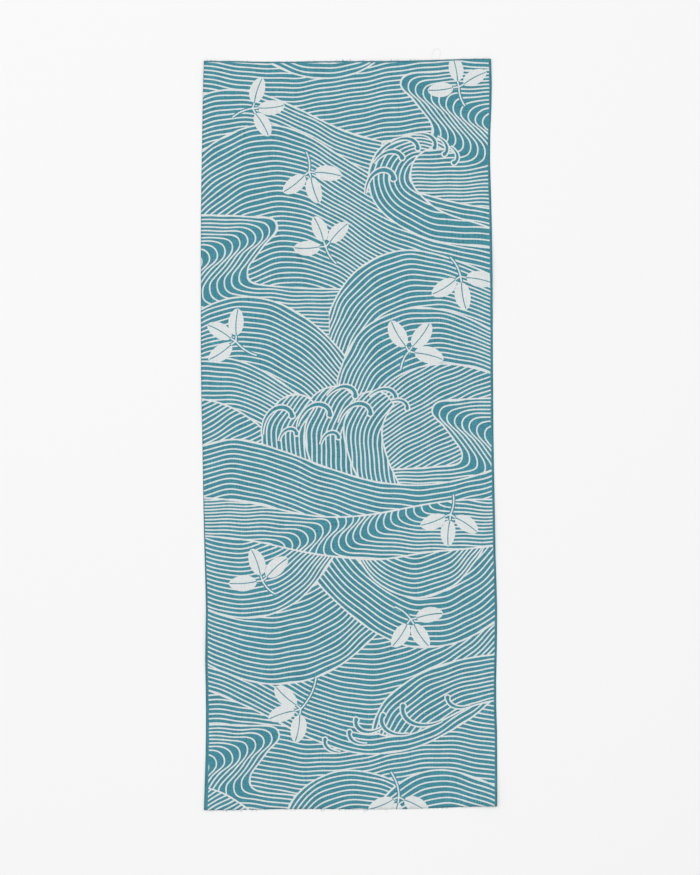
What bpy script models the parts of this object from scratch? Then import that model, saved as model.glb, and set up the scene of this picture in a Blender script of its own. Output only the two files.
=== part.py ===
"""A tenugui: one flat, unhemmed length of dyed cotton, lying face up on a surface.

The cloth is a single thin sheet. Its two long edges are selvedges, woven into the cloth, and wander by
a few millimetres. Its two ends are raw cuts, slightly out of square. +X runs across the cloth, +Y along
it and +Z up through it. The origin is at the middle of its underside.
"""

from typing import NamedTuple

import bmesh
import bpy
import numpy as np

MM = 0.001

WIDTH = 350 * MM
LENGTH = 900 * MM
THICKNESS = 1.0 * MM

COLUMNS = 10
ROWS = 30

TEAL = (0.070, 0.255, 0.319, 1.0)
COTTON_ROUGHNESS = 0.9


class Side(NamedTuple):
    """How far the two selvedges lie outside the plain width, in mm, at a share of the length."""

    along: float
    left: float
    right: float


class End(NamedTuple):
    """How far the two cut ends lie outside the plain length, in mm, at a share of the width."""

    across: float
    near: float
    far: float


SIDES = (
    Side(along=0.00, left=-0.7, right=3.0),
    Side(along=0.10, left=-3.0, right=3.0),
    Side(along=0.15, left=-3.0, right=1.8),
    Side(along=0.20, left=-2.2, right=2.6),
    Side(along=0.27, left=-3.1, right=3.0),
    Side(along=0.33, left=-1.6, right=1.3),
    Side(along=0.40, left=-0.2, right=0.2),
    Side(along=0.50, left=1.4, right=-1.3),
    Side(along=0.60, left=3.0, right=-1.9),
    Side(along=0.70, left=3.0, right=-2.5),
    Side(along=0.80, left=3.0, right=-3.7),
    Side(along=0.88, left=1.8, right=-5.5),
    Side(along=0.96, left=0.5, right=-3.3),
    Side(along=1.00, left=-0.7, right=-4.3),
)

ENDS = (
    End(across=0.00, near=1.5, far=-1.0),
    End(across=0.12, near=1.5, far=-1.2),
    End(across=0.25, near=0.3, far=-2.1),
    End(across=0.40, near=0.3, far=-1.2),
    End(across=0.70, near=0.3, far=-0.9),
    End(across=0.80, near=-1.0, far=0.2),
    End(across=0.90, near=-2.6, far=1.4),
    End(across=1.00, near=-3.3, far=1.5),
)


def clear_scene():
    for old in list(bpy.data.objects):
        bpy.data.objects.remove(old)


def smooth_value(places, values, place):
    """The value at a place on the smooth curve that passes through each listed value."""
    slopes = np.gradient(values, places)
    first = int(np.clip(np.searchsorted(places, place, side="right") - 1, 0, len(places) - 2))
    span = places[first + 1] - places[first]
    share = (place - places[first]) / span
    ease = share * share * (3 - 2 * share)
    leave = share * (1 - share) ** 2 * slopes[first] * span
    arrive = share**2 * (share - 1) * slopes[first + 1] * span
    return values[first] * (1 - ease) + values[first + 1] * ease + leave + arrive


def column_of(rows, name):
    return np.array([getattr(row, name) for row in rows])


def edge_outset(rows, place_name, edge_name, place):
    """How far an edge lies outside the plain rectangle at a place, in metres."""
    return smooth_value(column_of(rows, place_name), column_of(rows, edge_name), place) * MM


def cloth_point(across, along):
    """The place on the cloth at these shares of its width and length, both from 0 to 1."""
    left = -WIDTH / 2 - edge_outset(SIDES, "along", "left", along)
    right = WIDTH / 2 + edge_outset(SIDES, "along", "right", along)
    near = -LENGTH / 2 - edge_outset(ENDS, "across", "near", across)
    far = LENGTH / 2 + edge_outset(ENDS, "across", "far", across)
    return left + (right - left) * across, near + (far - near) * along


def lay_out_grid():
    """The cloth's grid of points, its box centred on the origin."""
    shares_across = np.linspace(0, 1, COLUMNS + 1)
    shares_along = np.linspace(0, 1, ROWS + 1)
    points = np.array([[cloth_point(u, v) for u in shares_across] for v in shares_along])
    middle = (points.min(axis=(0, 1)) + points.max(axis=(0, 1))) / 2
    return points - middle


def make_cloth_mesh():
    """The sheet: its underside on z = 0, and its upper side one thickness above."""
    mesh = bpy.data.meshes.new("towel_cloth")
    shape = bmesh.new()
    grid = [[shape.verts.new((x, y, 0.0)) for x, y in row] for row in lay_out_grid()]
    for lower, upper in zip(grid[:-1], grid[1:]):
        for i in range(COLUMNS):
            shape.faces.new((lower[i], lower[i + 1], upper[i + 1], upper[i]))
    raised = bmesh.ops.extrude_face_region(shape, geom=list(shape.faces))["geom"]
    raised_points = [item for item in raised if isinstance(item, bmesh.types.BMVert)]
    bmesh.ops.translate(shape, verts=raised_points, vec=(0.0, 0.0, THICKNESS))
    bmesh.ops.recalc_face_normals(shape, faces=list(shape.faces))
    shape.to_mesh(mesh)
    shape.free()
    return mesh


def make_material():
    material = bpy.data.materials.new("dyed_cotton")
    material.use_nodes = True
    surface = material.node_tree.nodes["Principled BSDF"]
    surface.inputs["Base Color"].default_value = TEAL
    surface.inputs["Roughness"].default_value = COTTON_ROUGHNESS
    surface.inputs["Metallic"].default_value = 0.0
    return material


def make_towel():
    towel = bpy.data.objects.new("towel_cloth", make_cloth_mesh())
    towel.data.materials.append(make_material())
    bpy.context.scene.collection.objects.link(towel)


clear_scene()
make_towel()
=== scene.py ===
from functools import partial
from typing import NamedTuple

import bpy
import numpy as np
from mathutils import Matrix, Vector, kdtree
from mathutils.geometry import delaunay_2d_cdt


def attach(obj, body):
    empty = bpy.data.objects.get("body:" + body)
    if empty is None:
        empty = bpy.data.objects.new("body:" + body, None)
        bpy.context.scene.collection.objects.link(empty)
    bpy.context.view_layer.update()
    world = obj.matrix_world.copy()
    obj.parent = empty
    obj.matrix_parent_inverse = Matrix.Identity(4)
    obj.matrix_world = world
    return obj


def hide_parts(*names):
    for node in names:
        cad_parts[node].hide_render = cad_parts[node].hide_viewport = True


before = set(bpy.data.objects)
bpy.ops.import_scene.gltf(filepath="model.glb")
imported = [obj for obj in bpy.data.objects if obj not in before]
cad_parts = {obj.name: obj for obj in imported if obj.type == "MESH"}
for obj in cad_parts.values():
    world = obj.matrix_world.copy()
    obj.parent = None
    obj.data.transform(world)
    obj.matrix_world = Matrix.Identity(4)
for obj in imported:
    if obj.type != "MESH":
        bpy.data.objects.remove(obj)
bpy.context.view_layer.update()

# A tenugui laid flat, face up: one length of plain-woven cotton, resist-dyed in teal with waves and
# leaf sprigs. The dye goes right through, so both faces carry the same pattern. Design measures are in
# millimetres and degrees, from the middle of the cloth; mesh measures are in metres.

MM = 0.001
CORNER_SLACK = 0.02
FLAT_WIDTH = 0.350
FLAT_LENGTH = 0.900
HALF_SPAN = (178, 451)
CORNER_PLACES = ((-175, -450), (175, -450), (175, 450), (-175, 450))

# ---- the cloth's mesh ----
CLOTH_THICK = 0.45
SELVEDGE_EXTRA = 0.12
SELVEDGE_REACH = 3
GRID_PITCH = 3.7
BEND_PITCH = 1.9
BEND_LIMIT = 0.11
BEND_GAP_MOST = 10
EDGE_PITCH = 1.7
BESIDE_LINE = 1.2
BESIDE_PITCH = 1.9
BESIDE_CLEAR = 0.85 * BESIDE_LINE
GRID_CLEAR = 0.55 * GRID_PITCH
BEND_CLEAR = 0.6 * BEND_PITCH
RIM_MARGIN = 3
CLOSEST = 0.35
SAME_PLACE = 0.001
MESH_CLOSENESS = 0.01
MAP_MARGIN = 0.004
MAP_RIM = 0.002

# ---- how the cloth lies ----
RIPPLE_SEED = 7
RIPPLE_LENGTHS = (310, 240, 170, 120, 95)
RIPPLE_FLATNESS = 600
RIPPLE_POWER = 1.5
CORNER_FROM = (0.72, 0.86)
CORNER_LIFT = 36
LIFT_MOST = 2.6

# ---- the drawn lines, and the dyed edges that stay plain ----
LINE_HALF = 0.89
OUTLINE_HALF = 1.0
VEIN_HALF = 0.58
BUNCHED_HALF = 0.28
FAR_AWAY = 9.0
HAND_SEED = 21
HAND_WOBBLE = 0.55
HAND_WAVES = 5
HAND_WAVE_LENGTHS = (28, 90)
PLAIN_RIGHT = 2.9
PLAIN_LEFT = ((-450, 4.4), (-250, 3.0), (-60, 0.4), (450, 0.1))
PLAIN_FAR = 1.7

# ---- claws and sprigs ----
CLAW_HALO = 1.75
CLAW_ROOT = 0.3
CLAW_FULL_FROM = 0.7
CLAW_TIP = 1.45
CLAW_KNOTS = 26
CLAW_EVEN_TURN = 0.45
LEAF_WIDE = 0.56
LEAF_FOOTING = 0.92
LEAF_FULLNESS = 0.52
LEAF_KNOTS = 21
LEAF_BEND = 20
STALK = 7.0
STEM_BEND = 18
STEM_HALF = 0.85
STEM_MARGIN = 2.2

# ---- loose yarn ends ----
FRAY_SEED = 33
YARN_PITCH = 0.5
YARN_RINGS = np.array((0.17, 0.17, 0.15, 0.09))
YARN_SIDES = 3
YARN_ROOT = 0.7
YARN_COLOUR_FROM = 2.2
YARN_LEAST = 0.9
YARN_JITTER = 0.18
YARN_TURN = 8
YARN_CURL = 0.25
LONG_YARN_SHARE = 0.02
LONG_YARN_MORE = (1, 3.5)
YARN_SAG = 0.12
LOOP_HALF = 0.15
LOOP_LIFT = 0.9
LOOP_PATH = ((100.4, 449.5, 92), (99.6, 456, 80), (102.4, 462.4, 40), (107.4, 463.6, -20),
    (109.8, 459, -100), (108.6, 450, -92))

# ---- the finish ----
TEAL = (0.0580, 0.257, 0.322, 1)
UNDYED = (0.730, 0.765, 0.765, 1)
DYED_UNEVEN = 0.95
UNDYED_UNEVEN = 0.29
LUMP_STRENGTH = 2.4
DYE_SOFT = 0.34
DYE_BLEED = 0.20
DYE_SWELL = 0.45
PRINT_SOFT = 0.6
PRINT_SWELL = 1.5
PATCH_STRENGTH = 0.16
UNDYED_SHADE_SHARE = 0.7
WARP_PITCH = 0.50
WEFT_PITCH = 0.56
SLUB = 1.2
WEAVE_DEPTH = 0.12
WEAVE_STRENGTH = 0.55
COTTON = {"Roughness": 0.88, "Specular IOR Level": 0.25, "Sheen Weight": 0.06, "Sheen Roughness": 0.5}

# ---- the set ----
FLOOR = {"Base Color": (0.93, 0.93, 0.93, 1), "Roughness": 0.95, "Specular IOR Level": 0.1}
FLOOR_SIZE = 8.0
FLOOR_DROP = 0.05 * MM
AIR_STRENGTH = 0.74
SOFTBOX_PLACE = (-0.7, 0.9, 4.2)
SOFTBOX_SIZE = 3.4
SOFTBOX_POWER = 62
VIEW_HEIGHT = 3.0
VIEW_TALL = 1.0523
VIEW_SENSOR = 36.0
VIEW_MIDDLE = (0.0012, -0.0036)


class Wave(NamedTuple):
    """A field of water: its edge strokes, and the line that is repeated over it.

    A stroke is a run of points, each with its place and the pen's heading there. The line is repeated
    every pitch along a drift heading, or ever smaller towards a focus. It is the first edge stroke
    unless another is given. The body reaches up or down from the edge to its foot, unless the edge is
    closed.
    """

    name: str
    edge: tuple
    pitch: float
    drift: float = None
    focus: tuple = None
    line: tuple = None
    body: str = "down"
    foot: float = -108


class Claw(NamedTuple):
    """A curling finger of foam: its root, the heading there, and how far it turns on its way."""

    x: float
    y: float
    heading: float
    turn: float
    length: float
    thick: float


class Sprig(NamedTuple):
    """Three leaves on a short stem: the joint's place, and the headings of the stem and leaves."""

    x: float
    y: float
    stem: float
    stem_length: float
    leaves: tuple
    leaf_length: float


class Spot(NamedTuple):
    """A patch where the dye took more."""

    x: float
    y: float
    radius: float
    strength: float


BOWL = ((-10, -206, -42), (36, -240, -28), (88, -256, 2), (140, -246, 24), (190, -214, 42),
    (240, -160, 50))
CURL = ((120, 230, 174), (60, 252, 148), (26, 290, 108), (28, 330, 68), (56, 356, 22), (98, 358, -18),
    (128, 340, -46))

# From the back to the front: first the near half of the cloth, then the far half, and last the river,
# which covers the seam between the two.
WAVES = (
    Wave("near ground", pitch=5.5, drift=90, body="up",
        edge=(((-200, -480, 0), (200, -480, 0)),),
        line=((-200, -436, 6), (-60, -448, -8), (80, -430, 10), (200, -440, -6))),
    Wave("near left stream", pitch=10.4, drift=205, foot=-490,
        edge=(((-210, -350, 2), (-122, -350, -4), (-84, -361, -84), (-98, -381, -127),
            (-116, -405, -127), (-119, -419, -84), (-96, -431, -6), (0, -436, 0), (120, -438, 0)),)),
    Wave("near corner fan", pitch=5.5, drift=-90, foot=-490,
        edge=(((-200, -420, -6), (-160, -428, -18), (-122, -450, -36), (-96, -484, -50)),),
        line=((-200, -478, 34), (-150, -446, 28), (-90, -416, 22))),
    Wave("near centre swell", pitch=6, drift=-76, foot=-490,
        edge=(((-84, -486, 72), (-68, -440, 56), (-24, -408, 20), (30, -408, -14), (84, -428, -18)),)),
    Wave("near right dome", pitch=6.8, drift=-80, foot=-490,
        edge=(((8, -486, 62), (48, -430, 46), (100, -404, 8), (150, -412, -20), (200, -436, -32)),)),
    Wave("low broad bowl", pitch=6, drift=96, body="up",
        edge=(((-200, -296, -20), (-120, -328, -24), (-44, -366, -22), (30, -384, 2), (104, -366, 28),
            (160, -330, 42), (200, -292, 44)),)),
    Wave("falling wave", pitch=6, drift=-50, body="closed",
        edge=(((210, -262, 184), (130, -272, 194), (72, -296, 214), (38, -328, 242), (28, -356, 268)),
            ((30, -358, -24), (66, -362, 8), (104, -348, 26), (150, -326, 18), (210, -316, 4)))),
    Wave("left high bowl", pitch=6.2, drift=100, body="up",
        edge=(((-200, -256, -36), (-150, -286, -22), (-90, -300, 0), (-30, -288, 24), (14, -258, 42),
            (60, -210, 52)),)),
    Wave("round bowl", pitch=6.2, focus=(92, -86), body="up",
        edge=(((-60, -150, -56), *BOWL),),
        line=((-112, -84, -58), (-60, -150, -54), *BOWL, (284, -84, 64))),
    Wave("left shoulder bowl", pitch=5.7, drift=100, body="up",
        edge=(((-200, -194, -34), (-160, -214, -18), (-112, -220, 6), (-68, -204, 30), (-34, -170, 50),
            (-10, -130, 62)),)),
    Wave("small bowl", pitch=6, drift=94, body="up",
        edge=(((6, -140, -58), (32, -176, -40), (78, -196, -6), (122, -184, 28), (152, -152, 50),
            (170, -120, 60)),)),
    Wave("far calm", pitch=5.5, drift=-90,
        edge=(((-200, 480, 0), (200, 480, 0)),),
        line=((-200, 436, -8), (-60, 424, 6), (80, 446, 8), (200, 442, -10))),
    Wave("top bowl", pitch=5.7, drift=88, body="up", foot=500,
        edge=(((-150, 490, -44), (-104, 452, -32), (-50, 430, -10), (6, 434, 18), (50, 464, 44),
            (70, 490, 54)),)),
    Wave("far stream", pitch=10, drift=-25,
        edge=(((210, 438, 180), (96, 436, 184), (62, 423, 262), (76, 404, 308), (96, 379, 306),
            (100, 364, 262), (80, 354, 186), (0, 350, 180), (-200, 346, 180)),)),
    Wave("far left swell", pitch=5.7, drift=-78,
        edge=(((-200, 398, 26), (-150, 414, 6), (-90, 404, -20), (-30, 376, -26), (40, 352, -12)),)),
    Wave("lookout hill", pitch=6.2, drift=-80,
        edge=(((-200, 318, 46), (-150, 358, 28), (-92, 372, -6), (-34, 350, -32), (24, 314, -28),
            (100, 286, -16), (200, 268, -6)),)),
    Wave("curling wave", pitch=6.8, focus=(92, 312), body="closed",
        edge=(((210, 222, 180), *CURL), ((128, 340, 168), (104, 344, 178), (82, 334, 226),
            (74, 312, 270), (86, 288, 314), (112, 268, 334), (160, 252, -20), (212, 232, -22))),
        line=((330, 222, 180), *CURL)),
    Wave("left long stream", pitch=10, drift=205,
        edge=(((-210, 264, 0), (-124, 262, -4), (-86, 250, -84), (-101, 229, -127), (-119, 205, -127),
            (-122, 191, -84), (-98, 179, -6), (-20, 175, 0), (60, 172, -4), (210, 168, 0)),)),
    Wave("hill before the curl", pitch=6.4, drift=-68,
        edge=(((-24, 146, 68), (4, 192, 46), (56, 220, 12), (120, 212, -18), (200, 178, -26)),)),
    Wave("left dome", pitch=6, drift=-98,
        edge=(((-200, 136, 36), (-150, 162, 16), (-98, 162, -14), (-44, 134, -38), (-8, 98, -50),
            (20, 58, -58)),)),
    Wave("right dome", pitch=6.6, drift=-66,
        edge=(((-14, 66, 74), (8, 116, 56), (58, 148, 20), (110, 150, -10), (160, 132, -26),
            (200, 110, -30)),)),
    Wave("left swell", pitch=5.6, drift=-84,
        edge=(((-200, 88, 16), (-150, 92, -6), (-96, 72, -30), (-40, 30, -40)),)),
    Wave("right rays", pitch=5.6, drift=-90,
        edge=(((24, 34, 58), (52, 66, 34), (100, 84, 8), (150, 80, -14), (200, 62, -22)),),
        line=((-20, -6, 34), (60, 50, 32), (140, 92, 24), (210, 120, 22))),
    Wave("right Z stream", pitch=10, drift=-25,
        edge=(((210, 44, 180), (132, 42, 184), (100, 30, 262), (114, 10, 308), (132, -14, 306),
            (136, -28, 262), (114, -38, 186), (40, -42, 180), (-60, -43, 180)),)),
    Wave("left low fan", pitch=5.5, drift=-80,
        edge=(((-200, 46, -8), (-150, 36, -20), (-112, 14, -38), (-84, -20, -56)),),
        line=((-200, 0, 38), (-150, 32, 28), (-80, 62, 20))),
    Wave("crest right", pitch=5.6, drift=-12, body="closed",
        edge=(((-8, -76, 96), (-14, 8, 84), (6, 42, 50), (34, 52, -2), (54, 36, -60)), ((54, 36, -128),
            (40, 8, -98), (46, -28, -72), (70, -76, -60))),
        line=((-8, -60, 100), (-14, 8, 84), (6, 42, 52), (36, 68, 36))),
    Wave("crest middle", pitch=5.8, drift=-10, body="closed",
        edge=(((-58, -64, 96), (-62, 4, 86), (-46, 42, 56), (-16, 58, 4), (8, 42, -62)),
            ((8, 42, -126), (-6, 12, -98), (0, -26, -74), (20, -68, -60))),
        line=((-56, -60, 98), (-62, 4, 86), (-46, 42, 58), (-14, 74, 44))),
    Wave("crest left", pitch=5.6, drift=-8, body="closed",
        edge=(((-96, -60, 100), (-104, 2, 86), (-88, 36, 52), (-62, 48, 0), (-40, 34, -64)),
            ((-40, 34, -128), (-53, 8, -98), (-48, -28, -74), (-30, -60, -60))),
        line=((-90, -60, 104), (-104, 2, 86), (-88, 36, 54), (-60, 62, 40))),
    Wave("fore hill", pitch=6, drift=-90,
        edge=(((-200, -24, 24), (-140, -6, 2), (-80, -20, -18), (-20, -42, -18), (40, -58, -8),
            (100, -60, 6), (150, -50, 16), (200, -32, 20)),)),
    Wave("river", pitch=10, drift=205, body="closed",
        edge=(((-210, -74, -4), (-120, -82, -10), (-40, -98, -6), (40, -94, 10), (120, -80, 6),
            (210, -80, -4)), ((210, -130, 186), (110, -140, 184), (20, -150, 176), (-60, -140, 168),
            (-130, -126, 174), (-210, -122, 184))),
        line=((-260, -92, 0), (-40, -92, -4), (-4, -103, -84), (-17, -122, -127), (-22, -136, -84),
            (2, -147, -6), (90, -150, 0), (260, -150, 0))),
)

CLAWS = tuple(Claw(*row) for row in (
    (20, 290, 88, -176, 56, 2.3),
    (30, 326, 56, -126, 42, 1.9),
    (50, 350, 34, -124, 40, 1.8),
    (80, 361, 10, -128, 34, 1.7),
    (106, 358, -24, -122, 27, 1.6),
    (122, 346, -32, -130, 24, 1.6),
    (-26, 46, 52, -148, 44, 1.9),
    (24, 46, 44, -146, 42, 1.8),
    (50, 40, 20, -122, 26, 1.5),
    (-104, 0, 92, -176, 62, 2.1),
    (-62, 10, 78, -172, 60, 2.1),
    (-12, 14, 74, -168, 56, 2),
    (-84, -8, 80, -166, 32, 1.6),
    (-34, -12, 78, -162, 32, 1.6),
    (112, -344, 206, -132, 62, 2),
    (72, -360, 192, -136, 48, 1.9),
    (40, -352, 214, -144, 42, 1.8),
    (22, -372, 186, -112, 30, 1.6),
    (146, -326, 200, -112, 34, 1.6),
    (-10, -382, 180, -110, 28, 1.5),
))

SPRIGS = tuple(Sprig(*row) for row in (
    (132, 418, -72, 24, (28, 102, 186), 31),
    (-116, 392, 204, 26, (72, 6, -60), 32),
    (-48, 316, 98, 24, (218, 288, -8), 33),
    (-28, 226, -58, 24, (46, 112, 182), 32),
    (134, 190, 118, 26, (212, 280, -12), 34),
    (-136, 112, -34, 30, (86, 150, 214), 33),
    (72, 100, 246, 24, (120, 54, -14), 36),
    (122, -96, 82, 24, (200, 266, -34), 32),
    (-104, -176, -46, 22, (42, 110, 184), 34),
    (74, -222, 142, 24, (236, 304, 10), 33),
    (-58, -330, 64, 42, (138, 198, 260), 34),
    (60, -436, 108, 32, (202, 262, -28), 33),
))

SPOTS = tuple(Spot(*row) for row in (
    (-61, 223, 7, 0.24),
    (-60, 216, 7, 0.24),
    (-59, 209, 6, 0.2),
    (3, 272, 7, 0.14),
    (21, -353, 8, 0.12),
))

# ---- drawing with the pen ----


def heading_vector(heading):
    turn = np.radians(heading)
    return np.array((np.cos(turn), np.sin(turn)))


def pen_line(knots, step=EDGE_PITCH):
    """Points along a smooth stroke through its knots, each a place and a heading."""
    points = []
    for (x0, y0, heading0), (x1, y1, heading1) in zip(knots[:-1], knots[1:]):
        start, end = np.array((x0, y0), float), np.array((x1, y1), float)
        chord = np.hypot(*(end - start))
        turn = abs((heading1 - heading0 + 180) % 360 - 180)
        half = np.radians(max(turn, 0.001)) / 2
        reach = 2 * chord * np.tan(half / 2) / np.sin(half)
        leave, arrive = heading_vector(heading0) * reach, heading_vector(heading1) * reach
        count = max(3, int(np.ceil(chord / step)))
        t = np.linspace(0, 1, count, endpoint=False)[:, None]
        ease = t * t * (3 - 2 * t)
        curve = start * (1 - ease) + end * ease
        points.append(curve + leave * t * (1 - t) ** 2 + arrive * t * t * (t - 1))
    points.append(np.array([knots[-1][:2]], float))
    return np.vstack(points)


def run_on(line, reach=400.0, count=40):
    """The line with a straight run added at both ends."""
    first, last = line[0] - line[1], line[-1] - line[-2]
    lengths = np.linspace(reach, reach / count, count)[:, None]
    head = line[0] + first / np.hypot(*first) * lengths
    tail = line[-1] + last / np.hypot(*last) * lengths[::-1]
    return np.vstack([head, line, tail])


def count_to_focus(points, line, focus, pitch):
    """How many lines lie between a point and the line, each drawn smaller towards the focus."""
    arms = line - np.array(focus, float)
    angles = np.unwrap(np.arctan2(arms[:, 1], arms[:, 0]))
    radii = np.hypot(*arms.T)
    if angles[-1] < angles[0]:
        angles, radii = angles[::-1], radii[::-1]
    own = points - np.array(focus, float)
    middle = (angles[0] + angles[-1]) / 2
    own_angles = middle + (np.arctan2(own[:, 1], own[:, 0]) - middle + np.pi) % (2 * np.pi) - np.pi
    line_radii = np.interp(own_angles, np.maximum.accumulate(angles), radii)
    return (1 - np.hypot(*own.T) / line_radii) * np.median(radii) / pitch


def count_along_drift(points, line, drift, pitch):
    """How many lines lie between a point and the line, each drawn one pitch further on."""
    ahead = heading_vector(drift)
    aside = np.array((-ahead[1], ahead[0]))
    line_ahead, line_aside = line @ ahead, line @ aside
    if line_aside[-1] < line_aside[0]:
        line_ahead, line_aside = line_ahead[::-1], line_aside[::-1]
    reach = np.interp(points @ aside, np.maximum.accumulate(line_aside), line_ahead)
    return (points @ ahead - reach) / pitch


def hand_wobble(points):
    """Points moved a little, as an unsteady hand spaces lines."""
    draw = np.random.default_rng(HAND_SEED)
    moved = points.copy()
    for _ in range(HAND_WAVES):
        waves = heading_vector(draw.uniform(0, 360)) * 2 * np.pi / draw.uniform(*HAND_WAVE_LENGTHS)
        way = heading_vector(draw.uniform(0, 360)) * HAND_WOBBLE
        moved += np.sin(points @ waves + draw.uniform(0, 6))[:, None] * way
    return moved


def line_count(wave, points):
    """How many of the wave's lines lie between each point and the first one."""
    line = pen_line(wave.line or wave.edge[0])
    points = hand_wobble(points)
    if wave.focus:
        return count_to_focus(points, line, wave.focus, wave.pitch)
    return count_along_drift(points, run_on(line), wave.drift, wave.pitch)


def line_gap(wave, points, count, nudge=0.25):
    """How far apart the lines are at each point."""
    across = line_count(wave, points + (nudge, 0)) - count
    along = line_count(wave, points + (0, nudge)) - count
    return 1 / np.maximum(np.hypot(across, along) / nudge, 0.02)


def wave_outline(wave):
    """The closed outline of a wave's body."""
    edge = np.vstack([pen_line(stroke) for stroke in wave.edge])
    if wave.body == "closed":
        return edge
    return np.vstack([edge, [[edge[-1, 0], wave.foot], [edge[0, 0], wave.foot]]])


def bent_line(x, y, headings, length):
    """A line whose heading changes along it, from the root."""
    steps = np.array([heading_vector(h) for h in (headings[1:] + headings[:-1]) / 2])
    walk = np.cumsum(steps * length / (len(headings) - 1), axis=0)
    return np.array((x, y), float) + np.vstack([[[0, 0]], walk])


def beside(line, headings, widths):
    """The line's two sides, at the widths given."""
    out = np.array([heading_vector(h + 90) for h in headings]) * widths[:, None]
    return line + out, line - out


def claw_outline(claw, extra):
    """A tapered hook that ends in a round drop."""
    share = np.linspace(0, 1, CLAW_KNOTS)
    headings = claw.heading + claw.turn * (CLAW_EVEN_TURN * share + (1 - CLAW_EVEN_TURN) * share**3)
    line = bent_line(claw.x, claw.y, headings, claw.length)
    widths = CLAW_ROOT + (claw.thick - CLAW_ROOT) * np.minimum(share / CLAW_FULL_FROM, 1) + extra
    drop = claw.thick * CLAW_TIP + extra
    last = claw.length / (CLAW_KNOTS - 1)
    behind = np.arange(CLAW_KNOTS)[::-1] * last
    inside_drop = np.sqrt(np.maximum(drop**2 - behind**2, 0))
    widths = np.where(behind < drop, np.maximum(widths, inside_drop), widths)
    left, right = beside(line, headings, widths)
    round_end = headings[-1] + np.linspace(75, -75, 9)
    tip = line[-1] + drop * np.array([heading_vector(h) for h in round_end])
    return np.vstack([left[:-1], tip, right[-2::-1]])


def leaf_shape(x, y, heading, length, bend):
    """A leaf's outline and its midrib, from its foot."""
    share = np.linspace(0, 1, LEAF_KNOTS)
    headings = heading + bend * (share - 0.5)
    line = bent_line(x, y, headings, length)
    fullness = np.maximum(np.sin(np.pi * share**LEAF_FOOTING), 0) ** LEAF_FULLNESS
    widths = length * LEAF_WIDE / 2 * fullness
    left, right = beside(line, headings, widths)
    return np.vstack([left, right[-2:0:-1]]), line[:-1]


def ribbon(line, half):
    """The outline of a band along a line."""
    slopes = np.gradient(line, axis=0)
    headings = np.degrees(np.arctan2(slopes[:, 1], slopes[:, 0]))
    left, right = beside(line, headings, np.full(len(line), half))
    return np.vstack([left, right[::-1]])


class Field(NamedTuple):
    """One area of the pattern: water, undyed or dyed all over. Later fields lie over earlier ones."""

    outline: np.ndarray
    kind: str
    wave: Wave = None
    midrib: np.ndarray = None


def sprig_fields(sprig):
    """The stem, stalks and leaves, the stem and stalks with a dyed margin under them."""
    x, y = sprig.x, sprig.y
    stem_end = np.array((x, y)) + heading_vector(sprig.stem) * sprig.stem_length
    strokes = [pen_line(((x, y, sprig.stem - STEM_BEND), (*stem_end, sprig.stem + STEM_BEND)))]
    feet = [np.array((x, y)) + heading_vector(h) * STALK for h in sprig.leaves]
    strokes += [pen_line(((x, y, h), (*foot, h))) for h, foot in zip(sprig.leaves, feet)]
    fields = [Field(ribbon(s, STEM_MARGIN), "dyed") for s in strokes]
    fields += [Field(ribbon(s, STEM_HALF), "undyed") for s in strokes]
    for i, (heading, foot) in enumerate(zip(sprig.leaves, feet)):
        bend = LEAF_BEND if i % 2 else -LEAF_BEND
        outline, midrib = leaf_shape(*foot, heading, sprig.leaf_length, bend)
        fields.append(Field(outline, "undyed", midrib=midrib))
    return fields


def draw_fields():
    """All that is drawn on the cloth, from the back to the front."""
    fields = [Field(wave_outline(wave), "water", wave=wave) for wave in WAVES]
    for claw in CLAWS:
        fields.append(Field(claw_outline(claw, CLAW_HALO), "undyed"))
        fields.append(Field(claw_outline(claw, 0), "dyed"))
    for sprig in SPRIGS:
        fields += sprig_fields(sprig)
    return fields


FIELDS = draw_fields()


def inside(outline, points):
    """Which of the points lie inside a closed outline."""
    near = ((points >= outline.min(0)) & (points <= outline.max(0))).all(1)
    hit = np.zeros(len(points), bool)
    ax, ay = outline.T
    bx, by = np.roll(outline, -1, axis=0).T
    slope = (bx - ax) / np.where(by == ay, 1, by - ay)
    places = np.flatnonzero(near)
    for part in np.array_split(places, len(places) // 2000 + 1):
        px, py = points[part, :1], points[part, 1:]
        crosses = ((ay > py) != (by > py)) & (px < ax + (py - ay) * slope)
        hit[part] = crosses.sum(1) % 2 == 1
    return hit


def field_at(points):
    """The number of the front field at each point."""
    found = np.zeros(len(points), int)
    left = np.arange(len(points))
    for i in range(len(FIELDS) - 1, 0, -1):
        hit = inside(FIELDS[i].outline, points[left])
        found[left[hit]] = i
        left = left[~hit]
    return found


# ---- the cloth's outline, from the fixed frame ----


def read_outline():
    """The points of the cloth's rim, in millimetres, in order from its near left corner."""
    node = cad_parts["towel_cloth"]
    places = np.array([v.co[:2] for v in node.data.vertices]) / MM
    places = np.unique(np.round(places, 3), axis=0)
    angles = np.arctan2(places[:, 1] / FLAT_LENGTH, places[:, 0] / FLAT_WIDTH)
    start = np.arctan2(-1, -1) - CORNER_SLACK
    return places[np.argsort((angles - start) % (2 * np.pi))]


OUTLINE = read_outline()
CORNERS = [int(np.argmin(np.abs(OUTLINE - place).sum(1))) for place in CORNER_PLACES]


def side_points(first, last):
    """The outline's points from one corner to the next."""
    if last:
        return OUTLINE[CORNERS[first] : CORNERS[last] + 1]
    return np.vstack([OUTLINE[CORNERS[first] :], OUTLINE[:1]])


NEAR_CUT = side_points(0, 1)
RIGHT_SELVEDGE = side_points(1, 2)
FAR_CUT = side_points(2, 3)[::-1]
LEFT_SELVEDGE = side_points(3, 0)[::-1]


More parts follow.
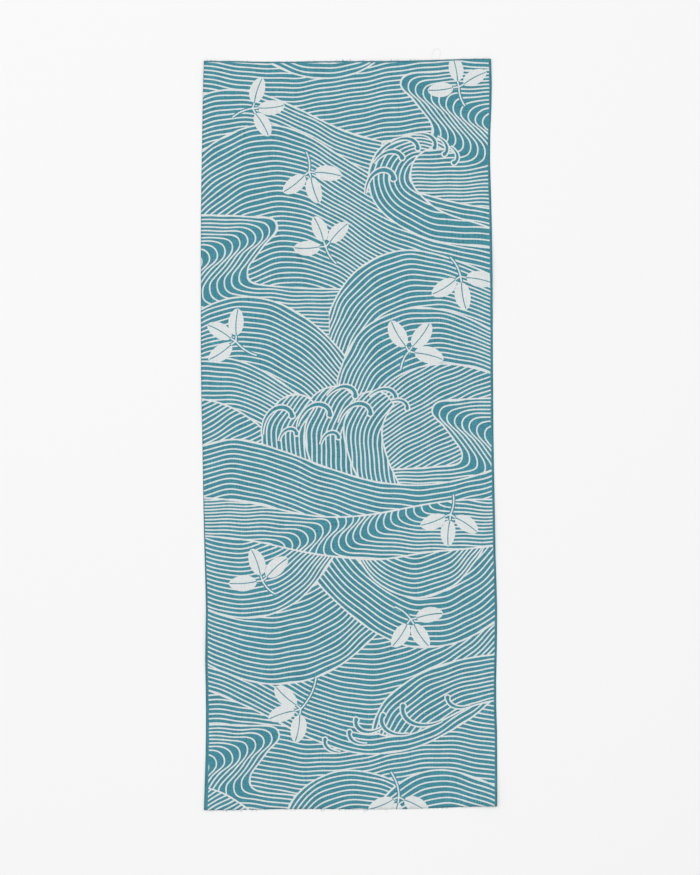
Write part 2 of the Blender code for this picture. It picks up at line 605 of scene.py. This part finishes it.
def edge_distances(points):
    """How far each point lies inside the left, right, near and far edges."""
    x, y = points.T
    return (
        x - np.interp(y, LEFT_SELVEDGE[:, 1], LEFT_SELVEDGE[:, 0]),
        np.interp(y, RIGHT_SELVEDGE[:, 1], RIGHT_SELVEDGE[:, 0]) - x,
        y - np.interp(x, NEAR_CUT[:, 0], NEAR_CUT[:, 1]),
        np.interp(x, FAR_CUT[:, 0], FAR_CUT[:, 1]) - y,
    )


def printed_distance(points):
    """How far each point lies inside the patterned area; the selvedges and far cut stay plain."""
    left, right, _, far = edge_distances(points)
    along, plain = np.array(PLAIN_LEFT).T
    left = left - np.interp(points[:, 1], along, plain)
    return np.minimum.reduce([left, right - PLAIN_RIGHT, far - PLAIN_FAR])


# ---- how the cloth lies ----


def lie_of_cloth(points):
    """How far the underside is above the floor: slow ripples, and corners that lift a little."""
    draw = np.random.default_rng(RIPPLE_SEED)
    height = np.zeros(len(points))
    for length in RIPPLE_LENGTHS:
        waves = heading_vector(draw.uniform(0, 180)) * 2 * np.pi / length
        height += np.sin(points @ waves + draw.uniform(0, 6)) * length / RIPPLE_FLATNESS
    height = np.maximum(height, 0) ** RIPPLE_POWER
    corner = np.clip(np.abs(points) / HALF_SPAN - CORNER_FROM, 0, None).prod(1)
    return np.minimum(height + CORNER_LIFT * corner, LIFT_MOST)


# ---- cutting the cloth's mesh along the drawing ----


def joined(*runs):
    """Runs of points as one list, with the pairs that each run joins."""
    points, pairs, start = [], [], 0
    for run, closed in runs:
        numbers = np.arange(start, start + len(run))
        links = np.column_stack([numbers, np.roll(numbers, -1)])
        points.append(run)
        pairs.append(links if closed else links[:-1])
        start += len(run)
    return np.vstack(points), np.vstack(pairs)


def close_to_cloth(points, pairs, margin):
    """The pairs with at least one point on the cloth or within the margin round it."""
    low, high = OUTLINE.min(0) - margin, OUTLINE.max(0) + margin
    within = ((points > low) & (points < high)).all(1)
    return pairs[within[pairs].any(1)]


def split_long(run, step):
    """A closed run of points with extra points, so that none are further apart than the step."""
    out = []
    for start, end in zip(run, np.roll(run, -1, axis=0)):
        count = int(np.ceil(np.hypot(*(end - start)) / step))
        out.append(start + (end - start) * np.arange(count)[:, None] / count)
    return np.vstack(out)


def triangles_of(points, pairs, closeness):
    """A Delaunay mesh over the points that keeps every pair joined: its places and triangles."""
    used, numbers = np.unique(pairs, return_inverse=True)
    extra = np.setdiff1d(np.arange(len(points)), used)
    order = np.concatenate([used, extra])
    links = numbers.reshape(-1, 2)
    found = delaunay_2d_cdt([Vector(p) for p in points[order]], links.tolist(), [], 0, closeness, False)
    places = np.array([v[:] for v in found[0]])
    return places, np.array(found[2])


def inner_edges(triangles):
    """Each edge between two triangles: its points, and the two triangles' numbers."""
    pairs = np.sort(triangles[:, [[0, 1], [1, 2], [2, 0]]].reshape(-1, 2), axis=1)
    owners = np.repeat(np.arange(len(triangles)), 3)
    order = np.lexsort((pairs[:, 1], pairs[:, 0]))
    pairs, owners = pairs[order], owners[order]
    twin = np.flatnonzero((pairs[1:] == pairs[:-1]).all(1))
    return pairs[twin], np.column_stack([owners[twin], owners[twin + 1]])


def rim_edges(triangles):
    """The edges with a triangle on one side only, each running with the cloth on its left."""
    runs = triangles[:, [[0, 1], [1, 2], [2, 0]]].reshape(-1, 2)
    size = triangles.max() + 1
    forward, backward = runs[:, 0] * size + runs[:, 1], runs[:, 1] * size + runs[:, 0]
    return runs[~np.isin(forward, backward)]


def tree_of(points):
    """A tree that finds the points near a place."""
    tree = kdtree.KDTree(len(points))
    for i, (x, y) in enumerate(points.tolist()):
        tree.insert((x, y, 0.0), i)
    tree.balance()
    return tree


def distances_to(points, others):
    """How far each point is from the nearest of the others."""
    tree = tree_of(others)
    return np.array([tree.find((x, y, 0.0))[2] for x, y in points.tolist()])


def thinned(points, spacing):
    """The points with those dropped that crowd an earlier one."""
    cells = np.floor(points / spacing).astype(int)
    _, first = np.unique(cells, axis=0, return_index=True)
    return points[np.sort(first)]


def close_points_merged(points, pairs, closeness):
    """The pairs' points, with those that almost touch made one."""
    used, numbers = np.unique(pairs, return_inverse=True)
    points, pairs = points[used], numbers.reshape(-1, 2)
    tree = tree_of(points)
    kept = np.full(len(points), -1)
    for i, (x, y) in enumerate(points.tolist()):
        if kept[i] < 0:
            kept[i] = i
            for _, other, _ in tree.find_range((x, y, 0.0), closeness):
                if kept[other] < 0:
                    kept[other] = i
    pairs = np.unique(np.sort(kept[pairs], axis=1), axis=0)
    return points, pairs[pairs[:, 0] != pairs[:, 1]]


def honeycomb(pitch):
    """Points all over the cloth, each a pitch from its six neighbours."""
    low, high = OUTLINE.min(0), OUTLINE.max(0)
    rows = np.arange(low[1], high[1], pitch * np.sqrt(3) / 2)
    columns = np.arange(low[0], high[0], pitch)
    across = columns[None, :] + (np.arange(len(rows)) % 2)[:, None] * pitch / 2
    points = np.column_stack([across.ravel(), np.repeat(rows, len(columns))])
    return points[np.minimum.reduce(edge_distances(points)) > pitch * 0.6]


def bend_of_lines(points, fields, reach):
    """How far, in millimetres, the lines leave a straight run over a triangle of this size."""
    bend = np.zeros(len(points))
    for number in np.unique(fields):
        wave = FIELDS[number].wave
        if not wave:
            continue
        own = fields == number
        here = line_count(wave, points[own])
        gap = line_gap(wave, points[own], here)
        worst = np.zeros(own.sum())
        for way in (0, 60, 120):
            step = heading_vector(way) * reach / 2
            ahead = line_count(wave, points[own] + step)
            behind = line_count(wave, points[own] - step)
            worst = np.maximum(worst, np.abs(ahead + behind - 2 * here) / 2)
        bend[own] = worst * np.minimum(gap, BEND_GAP_MOST)
    return bend


def clear_of(candidates, points, distance):
    """The candidates that are further than the distance from every point."""
    return candidates[distances_to(candidates, points) > distance]


def seen_edges():
    """The mesh's fixed points and pairs: the drawn outlines where they show, the rim and the middle
    seam. Then the middles and ways of the edges between two waters."""
    low, high = OUTLINE[:, 0].min() - RIM_MARGIN, OUTLINE[:, 0].max() + 2 * RIM_MARGIN
    across = np.arange(low, high, GRID_PITCH)
    seam = np.column_stack([across, np.zeros(len(across))])
    rim = split_long(OUTLINE, 2 * EDGE_PITCH)
    points, pairs = joined(*[(field.outline, True) for field in FIELDS], (rim, True), (seam, False))
    pairs = close_to_cloth(points, pairs, RIM_MARGIN)
    used, numbers = np.unique(pairs, return_inverse=True)
    places, triangles = triangles_of(points[used], numbers.reshape(-1, 2), SAME_PLACE)
    triangles = triangles[inside(OUTLINE, places[triangles].mean(1))]
    fields = field_at(places[triangles].mean(1))
    edges, sides = inner_edges(triangles)
    on_seam = (np.abs(places[edges, 1]) < MESH_CLOSENESS).all(1)
    seen = (fields[sides[:, 0]] != fields[sides[:, 1]]) | on_seam
    water = np.array([field.kind == "water" for field in FIELDS])[fields]
    outlined = places[edges[seen & water[sides].all(1)]]
    pairs = np.vstack([edges[seen], rim_edges(triangles)])

    ribs, rib_pairs = joined(*[(field.midrib, False) for field in FIELDS if field.midrib is not None])
    rib_pairs = close_to_cloth(ribs, rib_pairs, 0)
    pairs = np.vstack([pairs, rib_pairs + len(places)])
    points, pairs = close_points_merged(np.vstack([places, ribs]), pairs, CLOSEST)
    return points, pairs, outlined.mean(1), outlined[:, 1] - outlined[:, 0]


def cut_cloth():
    """Triangles over the cloth, cut along all that is drawn on it, and each one's field."""
    points, pairs, middles, ways = seen_edges()
    aside = np.column_stack([-ways[:, 1], ways[:, 0]]) / np.hypot(*ways.T)[:, None] * BESIDE_LINE
    beside_lines = np.vstack([middles + aside, middles - aside])
    beside_lines = beside_lines[np.minimum.reduce(edge_distances(beside_lines)) > 1]
    beside_lines = thinned(clear_of(beside_lines, points, BESIDE_CLEAR), BESIDE_PITCH)
    points = np.vstack([points, beside_lines])
    points = np.vstack([points, clear_of(honeycomb(GRID_PITCH), points, GRID_CLEAR)])
    fine = honeycomb(BEND_PITCH)
    fine = fine[bend_of_lines(fine, field_at(fine), GRID_PITCH) > BEND_LIMIT]
    points = np.vstack([points, clear_of(fine, points, BEND_CLEAR)])

    places, triangles = triangles_of(points, pairs, MESH_CLOSENESS)
    triangles = triangles[inside(OUTLINE, places[triangles].mean(1))]
    first, second, third = places[triangles].transpose(1, 0, 2)
    turned = np.cross(second - first, third - first) < 0
    triangles[turned] = triangles[turned][:, ::-1]
    used, numbers = np.unique(triangles, return_inverse=True)
    places, triangles = places[used], numbers.reshape(-1, 3)
    return places, triangles, field_at(places[triangles].mean(1))


def pattern_values(places, triangles, fields):
    """At each triangle's corners: the count and gap of lines, how far inside an undyed shape or
    outline, and how far from a midrib."""
    kinds = np.array([("water", "undyed", "dyed").index(f.kind) for f in FIELDS])[fields]
    edges, sides = inner_edges(triangles)
    one, other = sides.T
    water_line = (fields[one] != fields[other]) & (kinds[one] == 0) & (kinds[other] == 0)
    lines = places[edges[water_line]]
    to_water_line = distances_to(places, np.vstack([lines[:, 0], lines.mean(1), lines[:, 1]]))
    midribs = np.vstack([pen_points(f.midrib) for f in FIELDS if f.midrib is not None])
    to_midrib = distances_to(places, midribs)

    count = np.full(triangles.shape, 0.5)
    gap = np.full(triangles.shape, 2 * FAR_AWAY)
    shape = np.empty(triangles.shape)
    shape[kinds == 0] = OUTLINE_HALF - to_water_line[triangles[kinds == 0]]
    shape[kinds == 1] = FAR_AWAY
    shape[kinds == 2] = -FAR_AWAY
    vein = np.full(triangles.shape, FAR_AWAY)
    for number in np.unique(fields):
        own = fields == number
        field = FIELDS[number]
        if field.wave:
            corners, numbers = np.unique(triangles[own], return_inverse=True)
            counted = line_count(field.wave, places[corners])
            gaps = line_gap(field.wave, places[corners], counted)
            count[own] = counted[numbers].reshape(-1, 3)
            gap[own] = np.minimum(gaps, 2 * FAR_AWAY)[numbers].reshape(-1, 3)
        elif field.midrib is not None:
            vein[own] = np.minimum(to_midrib[triangles[own]], FAR_AWAY)
    return {"line_count": count, "line_gap": gap, "shape_mm": shape, "vein_mm": vein}


def pen_points(line):
    """The line's points with four more between each two."""
    runs = [a + (b - a) * np.arange(0, 1, 0.2)[:, None] for a, b in zip(line[:-1], line[1:])]
    return np.vstack(runs + [line[-1:]])


def map_of(points, far_half):
    """Places on the flat map, which has the two halves of the cloth side by side."""
    low, high = OUTLINE.min(0), OUTLINE.max(0)
    across = (points[..., 0] - low[0]) / (high[0] - low[0])
    along = np.where(far_half, points[..., 1] / high[1], 1 - points[..., 1] / low[1])
    u = MAP_MARGIN + (0.5 - 2 * MAP_MARGIN) * across + 0.5 * far_half
    return np.stack([u, MAP_MARGIN + (1 - 2 * MAP_MARGIN) * along], axis=-1)


def set_values(mesh, name, domain, values):
    mesh.attributes.new(name, "FLOAT", domain).data.foreach_set("value", values.astype(np.float32))


def finished_piece(mesh):
    """An object in the scene with this mesh, smoothly shaded."""
    mesh.polygons.foreach_set("use_smooth", np.ones(len(mesh.polygons), bool))
    mesh.update()
    piece = bpy.data.objects.new(mesh.name, mesh)
    bpy.context.scene.collection.objects.link(piece)
    return piece


def make_cloth():
    places, triangles, fields = cut_cloth()
    values = pattern_values(places, triangles, fields)
    count = len(places)
    under = lie_of_cloth(places)
    left, right, near, far = edge_distances(places)
    to_side = np.minimum(left, right)
    thick = CLOTH_THICK + SELVEDGE_EXTRA * np.clip(1 - to_side / SELVEDGE_REACH, 0, 1)
    upper = np.column_stack([places, under + thick]) * MM
    lower = np.column_stack([places, under]) * MM

    runs = rim_edges(triangles)
    rim = np.column_stack([runs[:, 0] + count, runs[:, 1] + count, runs[:, 1], runs[:, 0]])
    faces = triangles.tolist() + (triangles[:, ::-1] + count).tolist() + rim.tolist()
    mesh = bpy.data.meshes.new("tenugui_cloth")
    mesh.from_pydata(np.vstack([upper, lower]).tolist(), [], faces)

    corner_of = np.full(count, -1)
    corner_of[triangles.ravel()] = np.arange(triangles.size)
    rim_corners = corner_of[rim % count]
    for name, corners in values.items():
        flat = corners.ravel()
        data = np.concatenate([flat, corners[:, ::-1].ravel(), flat[rim_corners].ravel()])
        set_values(mesh, name, "CORNER", data)
    set_values(mesh, "printed_mm", "POINT", np.tile(printed_distance(places), 2))
    set_values(mesh, "side_mm", "POINT", np.tile(to_side, 2))
    set_values(mesh, "cut_mm", "POINT", np.tile(np.minimum(near, far), 2))

    far_half = places[triangles].mean(1)[:, 1] > 0
    top_map = map_of(places[triangles], far_half[:, None])
    middles = places[runs].mean(1)
    rim_map = map_of(places[rim % count], (middles[:, 1] > 0)[:, None])
    inset = np.column_stack(edge_distances(middles))
    outward = np.array([(-1, 0), (1, 0), (0, -1), (0, 1)])[inset.argmin(1)] * MAP_RIM
    rim_map[:, :2] += outward[:, None]
    laid = np.vstack([part.reshape(-1, 2) for part in (top_map, top_map[:, ::-1], rim_map)])
    mesh.uv_layers.new(name="OFBake").data.foreach_set("uv", laid.ravel().astype(np.float32))
    return finished_piece(mesh)


# ---- loose yarn ends at the two cuts ----


def tubes(lines, radii, sides):
    """Closed tubes of yarn along lines that all have the same number of points."""
    number, stations = lines.shape[:2]
    ways = np.gradient(lines, axis=1)
    ways /= np.linalg.norm(ways, axis=2, keepdims=True)
    aside = np.cross(ways, (0, 0, 1.0))
    aside /= np.linalg.norm(aside, axis=2, keepdims=True)
    up = np.cross(aside, ways)
    turns = np.arange(sides) * 2 * np.pi / sides
    rings = aside[:, :, None] * np.cos(turns)[:, None] + up[:, :, None] * np.sin(turns)[:, None]
    points = lines[:, :, None] + rings * np.asarray(radii)[None, :, None, None]
    first = np.arange(number)[:, None, None] * stations * sides
    ring = np.arange(stations - 1)[None, :, None] * sides
    side = np.arange(sides)[None, None, :]
    a, b = first + ring + side, first + ring + (side + 1) % sides
    walls = np.stack([a, a + sides, b + sides, b], axis=-1).reshape(-1, 4)
    start = first[:, 0] + np.arange(sides)
    end = start[:, ::-1] + (stations - 1) * sides
    return points.reshape(-1, 3), walls.tolist() + start.tolist() + end.tolist()


def undyed_at(points):
    """1 where the pattern leaves the cloth undyed, else 0."""
    fields = field_at(points)
    white = np.zeros(len(points))
    for number in np.unique(fields):
        own = fields == number
        field = FIELDS[number]
        if field.wave:
            counted = line_count(field.wave, points[own])
            off = np.abs(counted - np.round(counted)) * line_gap(field.wave, points[own], counted)
            white[own] = off < LINE_HALF
        else:
            white[own] = field.kind == "undyed"
    return white * (printed_distance(points) > 0)


def yarn_end_lines():
    """The middle lines of the loose ends at both cuts, and where each takes its colour from."""
    draw = np.random.default_rng(FRAY_SEED)
    lines, roots = [], []
    for cut, out in ((NEAR_CUT, -1), (FAR_CUT, 1)):
        x = np.arange(cut[0, 0] + 1.2, cut[-1, 0] - 1.2, YARN_PITCH)
        x = x + draw.uniform(-YARN_JITTER, YARN_JITTER, len(x))
        y = np.interp(x, cut[:, 0], cut[:, 1]) - YARN_ROOT * out
        length = YARN_LEAST + draw.gamma(shape=1.3, scale=0.32, size=len(x))
        long_ones = draw.random(len(x)) < LONG_YARN_SHARE
        length += long_ones * draw.uniform(*LONG_YARN_MORE, len(x))
        heading = np.radians(90 * out + draw.normal(0, YARN_TURN, len(x)))
        curl = draw.normal(0, YARN_CURL, len(x))
        root = np.column_stack([x, y])
        under = lie_of_cloth(root)
        stations = []
        for share in np.linspace(0, 1, len(YARN_RINGS)):
            turn = heading + curl * share
            reach = length * share
            z = under + CLOTH_THICK * (0.5 + 0.05 * share) - YARN_SAG * share * length
            z = np.maximum(z, 0.2)
            stations.append(np.column_stack([x + np.cos(turn) * reach, y + np.sin(turn) * reach, z]))
        lines.append(np.stack(stations, axis=1))
        roots.append(root - (0, YARN_COLOUR_FROM * out))
    return np.concatenate(lines), np.concatenate(roots)


def stray_loop():
    """One thread that stands out from the far cut in a small loop."""
    flat = pen_line(LOOP_PATH, step=0.8)
    share = np.linspace(0, 1, len(flat))
    return np.column_stack([flat, 0.25 + LOOP_LIFT * np.sin(np.pi * share)])


def make_yarn_ends():
    lines, roots = yarn_end_lines()
    points, faces = tubes(lines, YARN_RINGS, YARN_SIDES)
    undyed = np.repeat(undyed_at(roots), len(YARN_RINGS) * YARN_SIDES)
    loop = stray_loop()
    loop_points, loop_faces = tubes(loop[None], np.full(len(loop), LOOP_HALF), sides=5)
    faces += [[i + len(points) for i in face] for face in loop_faces]
    points = np.vstack([points, loop_points]) * MM
    undyed = np.concatenate([undyed, np.ones(len(loop_points))])
    mesh = bpy.data.meshes.new("cut_yarn_ends")
    mesh.from_pydata(points.tolist(), [], faces)
    set_values(mesh, "undyed", "POINT", undyed)
    return finished_piece(mesh)


# ---- cloth finish ----


def add_node(tree, kind, inputs=(), **settings):
    """A node in the tree, with values or other nodes' sockets put into its inputs."""
    node = tree.nodes.new(kind)
    for name, value in settings.items():
        setattr(node, name, value)
    for name, value in dict(inputs).items():
        if isinstance(value, bpy.types.NodeSocket):
            tree.links.new(value, node.inputs[name])
        else:
            node.inputs[name].default_value = value
    return node


def calculate(tree, operation, *values):
    return add_node(tree, "ShaderNodeMath", enumerate(values), operation=operation).outputs[0]


def ramp(tree, value, start, end, low=0.0, high=1.0):
    """Low before the start and high past the end, with a soft change between them."""
    inputs = {"Value": value, "From Min": start, "From Max": end, "To Min": low, "To Max": high}
    node = add_node(tree, "ShaderNodeMapRange", inputs, interpolation_type="SMOOTHSTEP")
    return node.outputs["Result"]


def soft_step(tree, value, width):
    """0 below zero and 1 above it, with a soft edge as wide as given."""
    return ramp(tree, value, -width / 2, width / 2)


def read(tree, name):
    return add_node(tree, "ShaderNodeAttribute", attribute_name=name).outputs["Fac"]


def mixed(tree, share, first, second, blend="MIX"):
    inputs = {0: share, 6: first, 7: second}
    return add_node(tree, "ShaderNodeMix", inputs, data_type="RGBA", blend_type=blend).outputs[2]


def shaded(tree, colour, light):
    """The colour made darker or lighter by a share of full brightness."""
    grey = add_node(tree, "ShaderNodeCombineColor", {0: light, 1: light, 2: light}).outputs[0]
    return mixed(tree, 1.0, colour, grey, blend="MULTIPLY")


def noise(tree, place, scale, stretch=(1, 1, 0), detail=2.0, roughness=0.5):
    """Noise over the flat cloth, from about -0.5 to 0.5, its scale in lumps per metre."""
    flat = add_node(tree, "ShaderNodeMapping", {"Vector": place, "Scale": stretch}).outputs[0]
    inputs = {"Vector": flat, "Scale": scale, "Detail": detail, "Roughness": roughness}
    node = add_node(tree, "ShaderNodeTexNoise", inputs)
    return calculate(tree, "SUBTRACT", node.outputs["Fac"], 0.5)


def new_group(name, inputs, output, kind):
    """A node group with one output, and the sockets that its nodes are put between."""
    group = bpy.data.node_groups.new(name, "ShaderNodeTree")
    for label, input_kind in inputs.items():
        group.interface.new_socket(label, in_out="INPUT", socket_type=input_kind)
    group.interface.new_socket(output, in_out="OUTPUT", socket_type=kind)
    into = group.nodes.new("NodeGroupInput").outputs
    out = group.nodes.new("NodeGroupOutput").inputs[output]
    return group, into, out


def make_dyed_yarn_group():
    """The colour of dyed and undyed cotton yarn, uneven from thread to thread."""
    inputs = {"Place": "NodeSocketVector", "Undyed share": "NodeSocketFloat"}
    group, into, out = new_group("Dyed yarn", inputs, "Colour", "NodeSocketColor")
    do = partial(calculate, group)
    place = into["Place"]
    warp = noise(group, place, 1.0, stretch=(2000, 40, 0), detail=1.0)
    weft = noise(group, place, 1.0, stretch=(40, 1800, 0), detail=1.0)
    lumps = noise(group, place, 800, detail=2.0, roughness=0.6)
    threads = do("ADD", warp, weft)
    threads = do("MULTIPLY_ADD", lumps, LUMP_STRENGTH, threads)
    dyed = shaded(group, TEAL, do("MULTIPLY_ADD", threads, DYED_UNEVEN, 1.0))
    undyed = shaded(group, UNDYED, do("MULTIPLY_ADD", threads, UNDYED_UNEVEN, 1.0))
    colour = mixed(group, into["Undyed share"], dyed, undyed)
    group.links.new(colour, out)
    return group


def make_weave_group():
    """The height of a plain weave: warp and weft threads that pass over each other in turn."""
    inputs = {"Place": "NodeSocketVector"}
    group, into, out = new_group("Plain weave", inputs, "Height", "NodeSocketFloat")
    do = partial(calculate, group)
    place = into["Place"]
    parts = add_node(group, "ShaderNodeSeparateXYZ", {0: place})
    numbers, threads = [], []
    for part, pitch, stretch in ((0, WARP_PITCH, (60, 12, 0)), (1, WEFT_PITCH, (12, 60, 0))):
        even = do("DIVIDE", parts.outputs[part], pitch * MM)
        number = do("MULTIPLY_ADD", noise(group, place, 1.0, stretch=stretch), SLUB, even)
        turn = do("MULTIPLY", number, np.pi)
        threads.append(do("ABSOLUTE", do("SINE", turn)))
        numbers.append(do("FLOOR", number))
    warp, weft = threads
    step = do("ADD", *numbers)
    over = do("PINGPONG", step, 1.0)
    lower = do("MULTIPLY", do("MULTIPLY", warp, weft), 0.35)
    warp_top = do("MULTIPLY", warp, do("POWER", weft, 0.5))
    weft_top = do("MULTIPLY", weft, do("POWER", warp, 0.5))
    top = add_node(group, "ShaderNodeMix", {0: over, 2: warp_top, 3: weft_top}).outputs[0]
    height = do("MAXIMUM", top, lower)
    group.links.new(height, out)
    return group


def use_group(tree, group, inputs):
    return add_node(tree, "ShaderNodeGroup", node_tree=group, inputs=inputs)


def new_material(name, finish):
    material = bpy.data.materials.new(name)
    material.use_nodes = True
    surface = material.node_tree.nodes["Principled BSDF"]
    for label, value in finish.items():
        surface.inputs[label].default_value = value
    return material, material.node_tree, surface


def object_place(tree):
    return tree.nodes.new("ShaderNodeTexCoord").outputs["Object"]


def undyed_share(tree, place):
    """How far the resist kept the dye out: the water lines, their outlines, claws, stems and leaves."""
    do = partial(calculate, tree)
    wander = noise(tree, place, 1500, detail=1.0)
    swell = noise(tree, place, 90, detail=1.0)
    bleed = do("MULTIPLY", wander, DYE_BLEED)
    bleed = do("MULTIPLY_ADD", swell, DYE_SWELL, bleed)
    count, gap = read(tree, "line_count"), read(tree, "line_gap")
    off_line = do("SUBTRACT", count, do("ROUND", count))
    off_line = do("MULTIPLY", do("ABSOLUTE", off_line), gap)
    half = do("MINIMUM", do("MULTIPLY", gap, BUNCHED_HALF), LINE_HALF)
    in_line = do("SUBTRACT", half, off_line)
    off_vein = do("SUBTRACT", read(tree, "vein_mm"), VEIN_HALF)
    lines, shapes, around_vein = (
        soft_step(tree, do("ADD", distance, bleed), DYE_SOFT)
        for distance in (in_line, read(tree, "shape_mm"), off_vein)
    )
    share = do("MULTIPLY", do("MAXIMUM", lines, shapes), around_vein)
    printed = do("MULTIPLY_ADD", swell, PRINT_SWELL, read(tree, "printed_mm"))
    return do("MULTIPLY", share, soft_step(tree, printed, PRINT_SOFT))


def patchy_dye_and_dark_edges(tree, place):
    """Broad patches where the dye is uneven, a few spots where it took more, and the cloth darker
    within about two millimetres of its selvedges and cuts, all as a share of full brightness.
    """
    patches = noise(tree, place, 5.5, detail=3.0)
    shade = calculate(tree, "MULTIPLY_ADD", patches, PATCH_STRENGTH, 1.0)
    # The cloth is made darker within about two millimetres of the selvedges and of the cuts.
    for distance, reach, strength in (("side_mm", 1.6, 0.16), ("cut_mm", 1.3, 0.14)):
        dark = ramp(tree, read(tree, distance), reach * 0.5, reach * 1.5, 1 - strength)
        shade = calculate(tree, "MULTIPLY", shade, dark)
    for spot in SPOTS:
        inputs = {0: place, 1: (spot.x * MM, spot.y * MM, 0)}
        away = add_node(tree, "ShaderNodeVectorMath", inputs, operation="DISTANCE").outputs["Value"]
        dark = ramp(tree, away, 0.0, spot.radius * MM, 1 - spot.strength)
        shade = calculate(tree, "MULTIPLY", shade, dark)
    return shade


def make_dyed_cotton(yarn, weave):
    material, tree, surface = new_material("dyed_cotton_weave", COTTON)
    place = object_place(tree)
    share = undyed_share(tree, place)
    colour = use_group(tree, yarn, {"Place": place, "Undyed share": share}).outputs["Colour"]
    depth = calculate(tree, "SUBTRACT", 1.0, calculate(tree, "MULTIPLY", share, UNDYED_SHADE_SHARE))
    colour = mixed(tree, depth, colour, shaded(tree, colour, patchy_dye_and_dark_edges(tree, place)))
    tree.links.new(colour, surface.inputs["Base Color"])
    height = use_group(tree, weave, {"Place": place}).outputs["Height"]
    inputs = {"Strength": WEAVE_STRENGTH, "Distance": WEAVE_DEPTH * MM, "Height": height}
    bump = add_node(tree, "ShaderNodeBump", inputs)
    tree.links.new(bump.outputs[0], surface.inputs["Normal"])
    return material


def make_loose_yarn(yarn):
    material, tree, surface = new_material("loose_cotton_yarn", COTTON)
    inputs = {"Place": object_place(tree), "Undyed share": read(tree, "undyed")}
    colour = use_group(tree, yarn, inputs).outputs["Colour"]
    tree.links.new(colour, surface.inputs["Base Color"])
    return material


# ---- the set: floor, light and camera ----


def make_floor():
    bpy.ops.object.select_all(action="DESELECT")
    bpy.ops.mesh.primitive_plane_add(size=FLOOR_SIZE, location=(0, 0, -FLOOR_DROP))
    floor = bpy.context.object
    floor.name = "pale_floor"
    floor.data.materials.append(new_material("pale_floor", FLOOR)[0])
    return floor


def light_the_set():
    scene = bpy.context.scene
    world = bpy.data.worlds.new("studio_air")
    world.use_nodes = True
    air = world.node_tree.nodes["Background"]
    air.inputs["Color"].default_value = (1, 1, 1, 1)
    air.inputs["Strength"].default_value = AIR_STRENGTH
    scene.world = world
    light = bpy.data.lights.new("softbox_over", "AREA")
    light.shape = "RECTANGLE"
    light.size = light.size_y = SOFTBOX_SIZE
    light.energy = SOFTBOX_POWER
    lamp = bpy.data.objects.new("softbox_over", light)
    lamp.location = SOFTBOX_PLACE
    lamp.rotation_euler = (-Vector(SOFTBOX_PLACE)).to_track_quat("-Z", "Y").to_euler()
    scene.collection.objects.link(lamp)
    scene.view_settings.view_transform = "Standard"


def place_camera():
    lens = bpy.data.cameras.new("overhead")
    lens.sensor_width = VIEW_SENSOR
    lens.lens = VIEW_SENSOR * VIEW_HEIGHT / VIEW_TALL
    camera = bpy.data.objects.new("overhead", lens)
    camera.location = (*VIEW_MIDDLE, VIEW_HEIGHT)
    bpy.context.scene.collection.objects.link(camera)
    bpy.context.scene.camera = camera


place_camera()
light_the_set()
make_floor()

yarn_colour = make_dyed_yarn_group()
cloth = make_cloth()
cloth.data.materials.append(make_dyed_cotton(yarn_colour, make_weave_group()))
yarn_ends = make_yarn_ends()
yarn_ends.data.materials.append(make_loose_yarn(yarn_colour))

for piece in (cloth, yarn_ends):
    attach(piece, "root")
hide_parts("towel_cloth")
